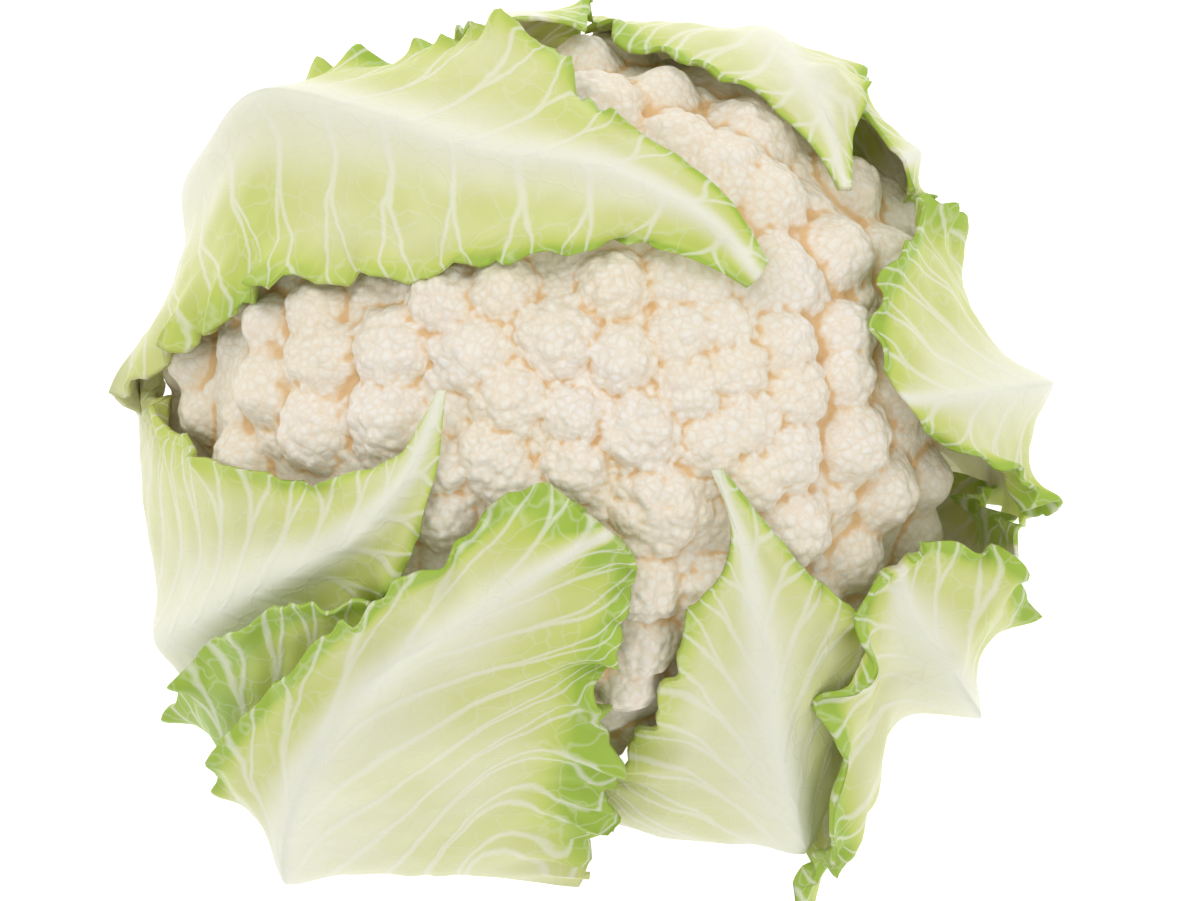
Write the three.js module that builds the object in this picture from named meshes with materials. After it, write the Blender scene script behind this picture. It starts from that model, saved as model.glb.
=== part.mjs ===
// A head of cauliflower with its wrapper leaves, standing on its trimmed stump.
// The white curd is one piece, a dome of florets. Eleven pale green leaves grow from the stump in two
// rings, bulge out round the head and fold over it. Millimetres, +Z up; the origin is the middle of the
// stump's cut face. X and Y are right and up as the head is seen from straight above.
import * as THREE from "three";

// Driving dimensions, in millimetres
const HEAD = new THREE.Vector3(-6, 12, 72); // the middle of the head, where its layers are measured from
const CURD = { halfWidth: 89, halfDepth: 82, rise: 66, drop: 44, flatUnder: 35 };
const STUMP = { radius: 24, topRadius: 29, height: 34.5, bevel: 2 };
const BLADE_THICKNESS = 0.9;
const TOUCH_GAP = 0.3; // between pieces that meet
const LAYER_GAP = 1.3; // between a leaf and whatever it lies on

const ICOSPHERE_DETAIL = 19;
const CORE_SHARE = 0.87; // the core's size as a share of the curd's outline
const GOLDEN_ANGLE = Math.PI * (3 - Math.sqrt(5));

// The florets seen from above, as [x, y, radius].
const FLORETS = [
  [-79, 14, 10], [-66, 21, 11], [-50, 23, 11.5], [-68, 4, 11], [-51, 6.5, 11.5], [-67, 32, 8],
  [-78, 29, 7], [-30, 22, 12], [-37, 35, 10], [-23, 37, 9.5], [-10, 26, 11.5], [-21, 11, 11],
  [-26, -3, 10], [-20, -10, 8.5], [-37, -5, 8], [-37, -17, 8.5], [-95, 8, 8], [4, 38, 9.5],
  [19, 40, 9.5], [6, 21, 9.5], [-6, 7, 7.5], [-6, -5.5, 9.5], [11, 3, 12], [16, -15, 14.5],
  [20, 26, 9], [30, 28, 9], [22, 14, 9.5], [33, 18, 10], [44, 24, 10], [35, 5, 10.5], [27, 0, 9],
  [47, 12, 10], [45, -2, 10.5], [37, 37, 9], [37, -8, 9], [25, 37, 8.5], [47, -20, 11.5], [62, 1, 11],
  [59, 17, 8], [59, 27, 8], [69, -11, 10.5], [78, -8, 8.5], [61, -27, 9], [44, 40, 13], [58, 46, 10.5],
  [60, 62, 11], [30, 67, 13.5], [20, 72, 11], [41, 60, 11], [0, 82, 12.5], [-3, 92, 9], [16, 84, 8],
  [12, -34, 10], [11, -47, 10], [7, -56, 9], [22, 54, 10], [6, 62, 12], [28, -35, 11], [50, -38, 11],
];
// More florets fill the sides and the parts under leaves, down to `lowest` degrees from the top.
const FILL = { count: 120, radius: 12, spacing: 15.5, lowest: 112 };
const FLORET_SINK = 0.96; // depth of a floret's middle below the outline, as a share of its radius

// Each leaf is drawn by three curves from its foot on the stump to its tip: the rib, and the margins to
// the left and right of it as seen from outside, tip up. Points are [x, y, z], one for each station.
// The blade bellies out between rib and margin, by `belly` on the left and on the right.
// The leaves come innermost first.
const LEAVES = {
  leaf_left: {
    belly: [3, 5], ruffle: 2, waves: 5,
    rib: [
      [-28, -5, 30], [-55, -14, 33], [-82, -30, 44], [-96, -41, 62], [-88, -37, 84], [-72, -28, 108],
      [-58, -21, 121], [-47, -13, 131], [-41, -5, 136], [-37, 4, 138], [-34, 13, 139],
    ],
    left: [
      [-27, 2, 30], [-53, -5, 33], [-86, -6, 42], [-103, 17, 57], [-100, 12, 73], [-86, 0, 98],
      [-67, -7, 117], [-52, -4, 128], [-43, -1, 134], [-39, 5, 137], [-35, 13, 139],
    ],
    right: [
      [-25.5, -12, 30], [-53, -22, 33], [-79, -45, 42], [-80, -66, 58], [-76, -63, 78], [-62, -50, 98],
      [-50, -35, 115], [-41, -24, 126], [-37, -12, 133], [-34.5, 1, 137], [-33, 13, 139],
    ],
  },
  leaf_front: {
    belly: [4, 5], ruffle: 2, waves: 5,
    rib: [
      [8.5, -27.7, 30], [19, -52, 32], [34, -76, 42], [44, -87, 58], [43, -80, 76], [38, -62, 96],
      [35, -44, 112], [32, -28, 124], [29, -15, 132], [25, -4, 137],
    ],
    left: [
      [1.8, -29.7, 30], [9, -56, 32], [12, -80, 42], [-4, -82, 58], [1, -74, 74], [11, -62, 92],
      [16, -42, 112], [26, -27, 123], [28, -14, 131], [24, -4, 137],
    ],
    right: [
      [15.2, -25.7, 30], [29, -48, 32], [46, -68, 42], [54, -75, 58], [55, -65, 76], [57, -49, 92],
      [55, -34, 109], [44, -25, 122], [34, -13, 132], [26.5, -4, 137],
    ],
  },
  leaf_back_right: {
    belly: [3, 3], ruffle: 4, waves: 4,
    rib: [[24, 16.2, 30], [44, 36, 33], [60, 52, 44], [68, 62, 62], [70, 66, 80], [67, 64, 94]],
    left: [[27.6, 10.8, 30], [51, 29, 33], [66, 44, 44], [70, 54, 62], [70, 54, 78], [69, 57, 91]],
    right: [[20.4, 21.6, 30], [38, 43, 33], [47, 66, 44], [52, 79, 62], [55, 80, 80], [55, 76, 93]],
  },
  leaf_top_right: {
    belly: [3, 4], ruffle: 1.5, waves: 5,
    rib: [
      [10.9, 26.9, 30], [22, 51, 33], [31, 77, 44], [35, 90, 62], [38, 90, 80], [42, 84, 92],
      [48, 76, 101], [51, 67, 106], [53.5, 57, 109],
    ],
    left: [
      [16.9, 24.5, 30], [31, 47, 33], [46, 69, 44], [56, 82, 60], [57, 81, 78], [55, 77, 91],
      [54, 70, 99], [55, 63, 105], [55, 57, 108.5],
    ],
    right: [
      [4.9, 29.3, 30], [12, 55, 33], [8, 84, 44], [-2, 92, 64], [0, 91, 84], [14, 85, 98],
      [31, 80, 103], [45, 69, 106], [52, 57, 109],
    ],
  },
  leaf_right_small: {
    belly: [3, 3], ruffle: 4.5, waves: 4,
    rib: [[27.6, -9, 30], [53, -17, 33], [78, -24, 44], [86, -27, 62], [91, -25, 80], [92, -23, 93]],
    left: [[25.4, -15.7, 30], [50, -26, 33], [70, -38, 44], [79, -38, 60], [83, -36, 78], [86, -33, 90]],
    right: [[29.8, -2.3, 30], [56, -8, 33], [84, -6, 44], [87, -12, 60], [90, -15, 78], [91, -16, 90]],
  },
  leaf_front_left_low: {
    belly: [3, 3], ruffle: 3.4, waves: 5,
    rib: [
      [-21.5, -19.4, 30], [-42, -40, 33], [-62, -59, 44], [-68, -63, 62], [-70, -62, 82],
      [-62, -55, 100], [-50, -45, 112], [-40, -37, 119],
    ],
    left: [
      [-25, -15, 30], [-47, -34, 33], [-73, -51, 44], [-85, -51, 60], [-86, -46, 78],
      [-74, -34, 101], [-60, -31, 113], [-47, -33, 119],
    ],
    right: [
      [-17, -25, 30], [-35, -47, 33], [-48, -70, 44], [-56, -74, 60], [-55, -70, 80],
      [-50, -64, 95], [-42, -52, 108], [-36, -41, 117],
    ],
  },
  leaf_top: {
    belly: [4, 4], ruffle: 2.4, waves: 4,
    rib: [[-8.4, 23, 17], [-17, 50, 20], [-24, 77, 36], [-22, 94, 60], [-18, 96, 82], [-13, 95, 98]],
    left: [[-1.8, 25.5, 17], [-8, 54, 20], [-6, 80, 36], [-4, 97, 60], [-1, 98, 80], [-3, 93, 97]],
    right: [[-15, 20.5, 17], [-26, 47, 20], [-40, 72, 36], [-36, 88, 60], [-31, 91, 78], [-21, 95, 92]],
  },
  leaf_right: {
    belly: [0, -3], ruffle: 3.6, waves: 5,
    rib: [
      [24.2, 4.3, 17], [56, 10, 20], [84, 14, 36], [96, 14, 58], [98, 14, 79], [89, 13, 96],
      [77, 11.5, 111], [66, 11, 119],
    ],
    left: [
      [25.4, -2.4, 17], [58, 0, 20], [82, -10, 36], [91, -14, 58], [93, -12, 78], [92, -12, 90],
      [84, -4, 104], [72, 4, 116],
    ],
    right: [
      [23, 11, 17], [53, 20, 20], [70, 36, 36], [69, 42, 56], [69, 47, 80], [66, 54, 95],
      [62, 40, 112], [61, 18, 120],
    ],
  },
  leaf_front_right: {
    belly: [-20, 1], ruffle: 4.4, waves: 5,
    rib: [
      [19.4, -15.1, 17], [44, -34, 20], [70, -52, 36], [82, -58, 58], [81, -54, 80], [74, -44, 95],
      [67, -34, 107], [65, -25, 113],
    ],
    left: [
      [15.1, -20.5, 17], [37, -43, 20], [46, -76, 36], [42, -93, 52], [44, -84, 70], [46, -62, 92],
      [54, -45, 106], [61, -26, 114],
    ],
    right: [
      [23.7, -9.7, 17], [50, -26, 20], [74, -36, 36], [82, -36, 56], [84, -30, 80], [83, -20, 98],
      [77, -20, 107], [67, -22, 113.5],
    ],
  },
  leaf_top_left: {
    belly: [1, 0], ruffle: 3, waves: 5,
    rib: [
      [-21, 12, 17], [-54, 32, 22], [-82, 48, 40], [-90, 55, 65], [-84, 65, 90], [-72, 77, 108],
      [-48, 72, 121], [-25, 65, 130], [1, 61, 135], [23, 50, 137], [34, 38, 134],
    ],
    left: [
      [-17.5, 18, 17], [-49, 42, 22], [-64, 63, 38], [-68, 75, 60], [-62, 80, 86], [-50, 86, 98],
      [-33, 90, 106], [-14, 93, 110], [4, 72, 129], [27, 55, 135], [36, 41, 134],
    ],
    right: [
      [-24.5, 6, 17], [-59, 22, 22], [-92, 22, 38], [-101, 9, 62], [-96, 20, 85], [-84, 29, 104],
      [-66, 36, 118], [-43, 37, 129], [-14, 40, 134], [8, 45, 136], [31, 35, 133],
    ],
  },
  leaf_front_left: {
    belly: [3, 2], ruffle: 3.4, waves: 5,
    rib: [
      [-14.1, -20.1, 17], [-32, -46, 20], [-54, -76, 36], [-68, -94, 58], [-68, -82, 82],
      [-58, -59, 108], [-44, -45, 121], [-28, -35, 131], [-13, -26, 138], [2, -17, 142],
    ],
    left: [
      [-19.8, -16.1, 17], [-42, -40, 20], [-60, -70, 36], [-74, -80, 57], [-79, -64, 78],
      [-66, -46, 106], [-50, -33, 120], [-33, -22, 131], [-17, -7, 139], [-4, -12, 141],
    ],
    right: [
      [-8.4, -24.1, 17], [-22, -52, 20], [-22, -86, 34], [-8, -94, 50], [0, -84, 72],
      [3, -66, 94], [2, -54, 112], [6, -40, 124], [9, -26, 134], [5, -19, 140],
    ],
  },
};
const LEAF_COLUMNS = [-1, -0.8, -0.55, -0.3, -0.1, 0, 0.1, 0.3, 0.55, 0.8, 1];
const ROWS_PER_STATION = 2.2;
const FOOT_ROWS = 2; // the rows next to the stump, which nothing lifts
const RIB = { foot: 7.5, tip: 1, slope: 1.1 };
const RIB_COLUMNS = [3, 8]; // the columns that the rib spans

// Colours of the fresh head
const FINISHES = {
  curd: { color: 0xece4cf, roughness: 0.6 },
  stump: { color: 0xdfe0b8, roughness: 0.6 },
  leaf: { color: 0xc6cf8c, roughness: 0.5 },
};

// A repeatable random number from 0 to 1 for each whole number
function chance(n) {
  const s = Math.sin(n * 12.9898 + 4.1414) * 43758.5453;
  return s - Math.floor(s);
}

function smooth(from, to, x) {
  const t = THREE.MathUtils.clamp((x - from) / (to - from), 0, 1);
  return t * t * (3 - 2 * t);
}

// The curd

// Distance from the middle of the head to its outline, along a unit direction
function outline(d) {
  const high = d.z > 0 ? CURD.rise : CURD.drop;
  return 1 / Math.hypot(d.x / CURD.halfWidth, d.y / CURD.halfDepth, d.z / high);
}

// The direction from the middle of the head to the point of its dome above (x, y)
function towards(x, y) {
  const away = Math.hypot((x - HEAD.x) / CURD.halfWidth, (y - HEAD.y) / CURD.halfDepth);
  const level = Math.max(1 - away * away, 0.02);
  return new THREE.Vector3(x - HEAD.x, y - HEAD.y, CURD.rise * Math.sqrt(level)).normalize();
}

function onOutline(axis) {
  return axis.clone().multiplyScalar(outline(axis));
}

function floretSpheres() {
  const heads = FLORETS.map(([x, y, radius]) => ({ axis: towards(x, y), radius }));
  const lowest = Math.cos(THREE.MathUtils.degToRad(FILL.lowest));
  for (let i = 0; i < FILL.count; i++) {
    const z = 1 - (i + 0.5) * (1 - lowest) / FILL.count;
    const flat = Math.sqrt(1 - z * z);
    const turn = i * GOLDEN_ANGLE;
    const axis = new THREE.Vector3(flat * Math.cos(turn), flat * Math.sin(turn), z);
    const taken = heads.some((head) => onOutline(axis).distanceTo(onOutline(head.axis)) < FILL.spacing);
    if (!taken) heads.push({ axis, radius: FILL.radius * (0.85 + 0.3 * chance(i)) });
  }
  return heads.map(({ axis, radius }) => ({
    middle: axis.clone().multiplyScalar(outline(axis) - FLORET_SINK * radius),
    radius,
  }));
}

const SPHERES = floretSpheres();

// How far the curd reaches along a unit direction from the middle of the head
function curdReach(d) {
  let reach = outline(d) * CORE_SHARE;
  for (const { middle, radius } of SPHERES) {
    const along = middle.dot(d);
    const inside = radius * radius - middle.lengthSq() + along * along;
    if (along > 0 && inside > 0) reach = Math.max(reach, along + Math.sqrt(inside));
  }
  const floor = (HEAD.z - CURD.flatUnder) / Math.max(-d.z, 1e-6);
  return d.z < 0 ? Math.min(reach, floor) : reach;
}

function curdGeometry() {
  const ball = new THREE.IcosahedronGeometry(1, ICOSPHERE_DETAIL);
  const place = ball.getAttribute("position");
  const d = new THREE.Vector3();
  for (let i = 0; i < place.count; i++) {
    d.fromBufferAttribute(place, i).normalize();
    d.multiplyScalar(1e5).round().normalize(); // corners that coincide stay together
    d.multiplyScalar(curdReach(d)).add(HEAD);
    place.setXYZ(i, d.x, d.y, d.z);
  }
  ball.deleteAttribute("normal");
  ball.deleteAttribute("uv");
  return ball;
}

// The stump, turned about the upright axis
function stumpRadius(z) {
  return STUMP.radius + (STUMP.topRadius - STUMP.radius) * smooth(8, STUMP.height, z);
}

function stumpGeometry() {
  const heights = [STUMP.bevel, 8, 14, 20, 26, STUMP.height];
  const profile = [
    new THREE.Vector2(0, 0),
    new THREE.Vector2(STUMP.radius - STUMP.bevel, 0),
    ...heights.map((z) => new THREE.Vector2(stumpRadius(z), z)),
    new THREE.Vector2(0, STUMP.height),
  ];
  return new THREE.LatheGeometry(profile, 28).rotateX(Math.PI / 2);
}

// The leaves

// A point of a smooth curve through the stations: u runs from 0 at the foot to 1 at the tip
function curvePoint(stations, u) {
  const last = stations.length - 1;
  const x = THREE.MathUtils.clamp(u, 0, 1) * last;
  const i = Math.min(Math.floor(x), last - 1);
  const t = x - i;
  const weights = [
    -t + 2 * t ** 2 - t ** 3,
    2 - 5 * t ** 2 + 3 * t ** 3,
    t + 4 * t ** 2 - 3 * t ** 3,
    t ** 3 - t ** 2,
  ];
  const point = new THREE.Vector3();
  weights.forEach((weight, k) => {
    const station = stations[THREE.MathUtils.clamp(i + k - 1, 0, last)];
    point.addScaledVector(new THREE.Vector3(...station), weight / 2);
  });
  return point;
}

// The margin on the side of v, at u
function marginPoint(leaf, u, v) {
  return curvePoint(v < 0 ? leaf.left : leaf.right, u);
}

// A point of the blade's inner face, with v from -1 at the left margin to 1 at the right one
function bladePoint(leaf, u, v) {
  const rib = curvePoint(leaf.rib, u);
  const margin = marginPoint(leaf, u, v);
  const reach = rib.distanceTo(margin);
  const share = Math.abs(v);
  const side = v < 0 ? 0 : 1;
  const belly = leaf.belly[side] * 4 * share * (1 - share) * Math.min(reach / 40, 1) ** 2;
  const wave = Math.sin(2 * Math.PI * (leaf.waves * u + 0.35 * side));
  const ruffle = leaf.ruffle * share ** 3 * wave * smooth(0.12, 0.35, u) * Math.min(reach / 20, 1);
  const point = rib.lerp(margin, share);
  const out = point.clone().sub(HEAD).normalize();
  return point.addScaledVector(out, belly + ruffle);
}

// How much of the rib there is at a point of the blade: 1 along its middle, falling off to the sides
function ribShare(leaf, u, v) {
  const reach = Math.abs(v) * curvePoint(leaf.rib, u).distanceTo(marginPoint(leaf, u, v));
  return Math.exp(-((reach / (1 + RIB.slope * ribDepth(u))) ** 2));
}

function ribDepth(u) {
  return RIB.foot + (RIB.tip - RIB.foot) * u;
}

// What is already in place, as its reach in every direction from the middle of the head
class Shell {
  constructor() {
    this.turns = 96;
    this.levels = 60;
    this.reach = new Float64Array(this.turns * this.levels);
    const spots = [[0, 0], [-0.5, -0.5], [0.5, -0.5], [-0.5, 0.5], [0.5, 0.5]];
    for (let j = 0; j < this.levels; j++) {
      for (let i = 0; i < this.turns; i++) {
        const reaches = spots.map(([di, dj]) => curdReach(this.direction(i + di, j + dj)));
        this.reach[j * this.turns + i] = Math.max(...reaches);
      }
    }
  }

  // The direction to the middle of a cell
  direction(i, j) {
    const down = (j + 0.5) * Math.PI / this.levels;
    const turn = (i + 0.5) * 2 * Math.PI / this.turns;
    const flat = Math.sin(down);
    return new THREE.Vector3(flat * Math.cos(turn), flat * Math.sin(turn), Math.cos(down));
  }

  // The cell that the point lies in, and its distance from the middle of the head
  cell(p) {
    const d = p.clone().sub(HEAD);
    const length = d.length();
    const level = Math.floor(Math.acos(d.z / length) / Math.PI * this.levels);
    const turn = Math.floor((Math.atan2(d.y, d.x) / (2 * Math.PI) + 1) % 1 * this.turns);
    return [Math.min(turn, this.turns - 1), Math.min(level, this.levels - 1), length];
  }

  // The most that anything reaches in the cell of p and those round it
  under(p) {
    const [i, j] = this.cell(p);
    let most = 0;
    for (let dj = -1; dj <= 1; dj++) {
      for (let di = -1; di <= 1; di++) {
        const row = THREE.MathUtils.clamp(j + dj, 0, this.levels - 1);
        const column = (i + di + this.turns) % this.turns;
        most = Math.max(most, this.reach[row * this.turns + column]);
      }
    }
    return most;
  }

  add(p) {
    const [i, j, length] = this.cell(p);
    const at = j * this.turns + i;
    this.reach[at] = Math.max(this.reach[at], length);
  }
}

// The way a point moves off what lies under it: straight up on top of the head, outwards at its sides
function liftWay(p) {
  const out = p.clone().sub(HEAD).normalize();
  const up = new THREE.Vector3(0, 0, 1);
  return out.clone().lerp(up, smooth(0.15, 0.6, out.z)).normalize();
}

// The grid's value at row i and column j, with both held inside the grid
function held(grid, i, j) {
  const row = grid[THREE.MathUtils.clamp(i, 0, grid.length - 1)];
  return row[THREE.MathUtils.clamp(j, 0, row.length - 1)];
}

// How far the point must go to clear what lies under it
function clearance(p, shell) {
  const way = liftWay(p);
  const q = p.clone();
  for (let step = 0; step < 4; step++) {
    const out = q.clone().sub(HEAD);
    const short = shell.under(q) + LAYER_GAP - out.length();
    if (short > 0) q.addScaledVector(way, short / way.dot(out.normalize()));
  }
  return q.distanceTo(p);
}

// How far each grid point is lifted off what lies under it, evened out; the leaf's foot stays put
function lifts(points, shell) {
  const need = points.map((row, i) => row.map((p) => (i < FOOT_ROWS ? 0 : clearance(p, shell))));
  let lift = need;
  for (let pass = 0; pass < 3; pass++) {
    const before = lift;
    lift = need.map((row, i) => row.map((least, j) => {
      const round = [[i - 1, j], [i + 1, j], [i, j - 1], [i, j + 1]];
      const sum = round.reduce((total, [a, b]) => total + held(before, a, b), 2 * before[i][j]);
      return i < FOOT_ROWS ? 0 : Math.max(sum / 6, least);
    }));
  }
  return lift;
}

// The direction out of the blade's outer face at each grid point, evened out so that no two cross
function outwardDirections(grid) {
  const square = grid.map((row, i) => row.map((_, j) => {
    const lengthways = held(grid, i + 1, j).clone().sub(held(grid, i - 1, j));
    const across = held(grid, i, j + 1).clone().sub(held(grid, i, j - 1));
    return across.cross(lengthways).normalize();
  }));
  return square.map((row, i) => row.map((way, j) => {
    const round = [[i - 1, j], [i + 1, j], [i, j - 1], [i, j + 1]];
    const sum = way.clone();
    for (const [a, b] of round) sum.add(held(square, a, b));
    return sum.normalize();
  }));
}

// The blade's outer face. Blade and rib grow together: the rib stands square out of the blade's middle.
function outerFace(leaf, inner, us) {
  const outward = outwardDirections(inner);
  return inner.map((row, i) => {
    const ribWay = new THREE.Vector3();
    for (const way of outward[i].slice(...RIB_COLUMNS)) ribWay.add(way);
    ribWay.normalize();
    return row.map((p, j) => {
      const share = ribShare(leaf, us[i], LEAF_COLUMNS[j]);
      const thickness = BLADE_THICKNESS + (ribDepth(us[i]) - BLADE_THICKNESS) * share;
      const way = outward[i][j].clone().lerp(ribWay, Math.sqrt(share)).normalize();
      return p.clone().addScaledVector(way, thickness);
    });
  });
}

// Moves a foot's end onto the stump's side
function seat(row) {
  for (const p of row) {
    const onto = (stumpRadius(p.z) + TOUCH_GAP) / Math.hypot(p.x, p.y);
    p.set(p.x * onto, p.y * onto, p.z);
  }
}

// Adds a face to what lies under the next leaf
function addToShell(shell, face) {
  for (let i = 0; i < face.length - 1; i++) {
    for (let j = 0; j < LEAF_COLUMNS.length - 1; j++) {
      for (let a = 0; a <= 1; a += 0.25) {
        const left = face[i][j].clone().lerp(face[i + 1][j], a);
        const right = face[i][j + 1].clone().lerp(face[i + 1][j + 1], a);
        for (let b = 0; b <= 1; b += 0.25) shell.add(left.clone().lerp(right, b));
      }
    }
  }
}

function leafGeometry(leaf, shell) {
  const rowCount = Math.round(ROWS_PER_STATION * leaf.rib.length);
  const us = Array.from({ length: rowCount }, (_, i) => i / (rowCount - 1));
  const inner = us.map((u) => LEAF_COLUMNS.map((v) => bladePoint(leaf, u, v)));
  const lift = lifts(inner, shell);
  inner.forEach((row, i) => row.forEach((p, j) => p.addScaledVector(liftWay(p), lift[i][j])));
  const outer = outerFace(leaf, inner, us);
  seat(inner[0]);
  seat(outer[0]);
  addToShell(shell, outer);
  return closedSheet(inner, outer);
}

// One closed mesh from two grids of points, split into triangles alike on both faces
function closedSheet(inner, outer) {
  const rows = inner.length;
  const columns = inner[0].length;
  const index = [];
  const innerId = (i, j) => i * columns + j;
  const outerId = (i, j) => rows * columns + innerId(i, j);
  const addQuad = (a, b, c, d) => index.push(a, b, c, a, c, d);
  for (let i = 0; i < rows - 1; i++) {
    for (let j = 0; j < columns - 1; j++) {
      addQuad(innerId(i, j), innerId(i + 1, j), innerId(i + 1, j + 1), innerId(i, j + 1));
      const [a, b, c, d] = [outerId(i, j), outerId(i + 1, j), outerId(i + 1, j + 1), outerId(i, j + 1)];
      index.push(a, c, b, a, d, c);
    }
  }
  const lastRow = rows - 1;
  const lastColumn = columns - 1;
  for (let i = 0; i < lastRow; i++) {
    addQuad(innerId(i, 0), outerId(i, 0), outerId(i + 1, 0), innerId(i + 1, 0));
    const [a, b] = [innerId(i, lastColumn), innerId(i + 1, lastColumn)];
    addQuad(a, b, outerId(i + 1, lastColumn), outerId(i, lastColumn));
  }
  for (let j = 0; j < lastColumn; j++) {
    addQuad(innerId(0, j), innerId(0, j + 1), outerId(0, j + 1), outerId(0, j));
    const [a, b] = [outerId(lastRow, j), outerId(lastRow, j + 1)];
    addQuad(innerId(lastRow, j), a, b, innerId(lastRow, j + 1));
  }
  return new THREE.BufferGeometry().setFromPoints([...inner.flat(), ...outer.flat()]).setIndex(index);
}

const cauliflower = new THREE.Group();

function addPiece(name, geometry, finish) {
  const mesh = new THREE.Mesh(geometry, new THREE.MeshStandardMaterial({ ...finish, metalness: 0 }));
  mesh.name = name;
  cauliflower.add(mesh);
}

addPiece("curd", curdGeometry(), FINISHES.curd);
addPiece("stump", stumpGeometry(), FINISHES.stump);
const shell = new Shell();
for (const [name, leaf] of Object.entries(LEAVES)) {
  addPiece(name, leafGeometry(leaf, shell), FINISHES.leaf);
}

export default cauliflower;
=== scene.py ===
import math

import bmesh
import bpy
import numpy as np
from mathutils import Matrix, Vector


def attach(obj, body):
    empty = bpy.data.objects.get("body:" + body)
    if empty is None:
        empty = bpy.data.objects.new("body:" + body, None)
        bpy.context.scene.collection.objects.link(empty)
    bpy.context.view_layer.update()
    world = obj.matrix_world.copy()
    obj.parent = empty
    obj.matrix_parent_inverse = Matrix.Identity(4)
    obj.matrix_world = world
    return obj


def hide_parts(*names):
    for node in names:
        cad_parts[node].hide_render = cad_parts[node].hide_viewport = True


# A head of cauliflower with its wrapper leaves, standing on its stump.
# Shapes are worked out in millimetres, in the part's own frame, and made in metres.

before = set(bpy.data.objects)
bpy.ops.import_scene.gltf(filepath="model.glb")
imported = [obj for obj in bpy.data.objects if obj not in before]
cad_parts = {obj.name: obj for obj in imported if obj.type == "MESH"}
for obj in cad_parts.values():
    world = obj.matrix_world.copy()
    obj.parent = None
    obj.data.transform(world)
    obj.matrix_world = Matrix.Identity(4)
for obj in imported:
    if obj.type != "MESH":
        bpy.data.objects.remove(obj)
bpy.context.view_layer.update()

MM = 0.001
UP = np.array([0, 0, 1.0])
GOLDEN_ANGLE = math.pi * (3 - math.sqrt(5))
FULL_TURN = 6.28
ASLANT = [0.31, 0.52, 0.79]  # a direction that no floret points in

HEAD = np.array([-6.0, 12.0, 72.0])  # the middle of the head
CURD = {"half_width": 89, "half_depth": 82, "rise": 66, "drop": 44, "flat_under": 35}
STUMP = {"radius": 24, "top_radius": 29, "height": 34.5, "bevel": 2}
STUMP_MESH = {"turns": 120, "face_rings": 14, "side_rings": 30}
STUMP_RIDGES = {"count": 9, "depth": 0.012}  # depth as a share of the radius
BLADE_THICKNESS = 0.9
TOUCH_GAP = 0.3  # between a leaf's foot and the stump
LAYER_GAP = 1.3  # between a leaf and what it lies over
CORE_SHARE = 0.87  # the curd behind its florets, as a share of its outline
BUDDED_CORE_SHARE = 0.93  # the same where the florets carry heads and buds

# The florets seen from above, as (x, y, radius)
FLORETS = [
    (-79, 14, 10), (-66, 21, 11), (-50, 23, 11.5), (-68, 4, 11), (-51, 6.5, 11.5), (-67, 32, 8),
    (-78, 29, 7), (-30, 22, 12), (-37, 35, 10), (-23, 37, 9.5), (-10, 26, 11.5), (-21, 11, 11),
    (-26, -3, 10), (-20, -10, 8.5), (-37, -5, 8), (-37, -17, 8.5), (-95, 8, 8), (4, 38, 9.5),
    (19, 40, 9.5), (6, 21, 9.5), (-6, 7, 7.5), (-6, -5.5, 9.5), (11, 3, 12), (16, -15, 14.5),
    (20, 26, 9), (30, 28, 9), (22, 14, 9.5), (33, 18, 10), (44, 24, 10), (35, 5, 10.5), (27, 0, 9),
    (47, 12, 10), (45, -2, 10.5), (37, 37, 9), (37, -8, 9), (25, 37, 8.5), (47, -20, 11.5),
    (62, 1, 11), (59, 17, 8), (59, 27, 8), (69, -11, 10.5), (78, -8, 8.5), (61, -27, 9),
    (44, 40, 13), (58, 46, 10.5), (60, 62, 11), (30, 67, 13.5), (20, 72, 11), (41, 60, 11),
    (0, 82, 12.5), (-3, 92, 9), (16, 84, 8), (12, -34, 10), (11, -47, 10), (7, -56, 9),
    (22, 54, 10), (6, 62, 12), (28, -35, 11), (50, -38, 11),
]

# The other florets: their radius with its least and its added share, how close they may come in mm, and
# how far down they go in degrees
FILL = {"count": 120, "radius": 12, "least": 0.85, "more": 0.3, "spacing": 15.5, "lowest": 112}
FLORET_SINK = 0.96  # how deep a floret's middle is under the outline, as a share of its radius

# Each floret carries heads, and each head carries buds, as spheres on its outer side.
# Their radii and reaches are shares of the floret's or the head's radius.
HEADS = {
    "count": 30, "spread": 1.15, "radius": 0.29, "least": 0.85, "more": 0.35,
    "reach": 0.77, "dome": 0.97, "core": 0.95,
}
BUDS = {"count": 11, "spread": 0.95, "radius": 0.42, "least": 0.85, "more": 0.3, "reach": 0.68}
UNDERGROWTH = {"count": 320, "radius": 8, "level": 0.945, "lowest": 115, "turn": 0.8}
ROUNDING = 0.1  # how much smaller and further out each floret is than its plain mass
NEAR_FLORET = 1.1  # how far round its middle a floret's heads may reach, in radii
NEAR_HEAD = 1.15  # the same for a head's buds
SIDE_FLORETS = [(-85, 6, -2, 7.5), (-86, -4, -8, 7), (-84, 8, 8, 7)]  # x, y, z from HEAD, radius

# The curd's mesh is a ball with its triangles drawn towards the top, where they are seen.
CURD_MESH = {"splits": 146, "quick": 50, "gather": 0.6}
CURD_EVENED = {"soft": 3, "edges": 6, "steep": 24, "middle": 16, "wide": 70}  # how many times over
STEEP = (0.08, 0.28)  # in mm: where steep sides start to be evened and where they are fully
CURD_BANDS = (("curd_top", 0.15, 1.1), ("curd_side", -0.5, 0.15), ("curd_under", -1.1, -0.5))

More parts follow.
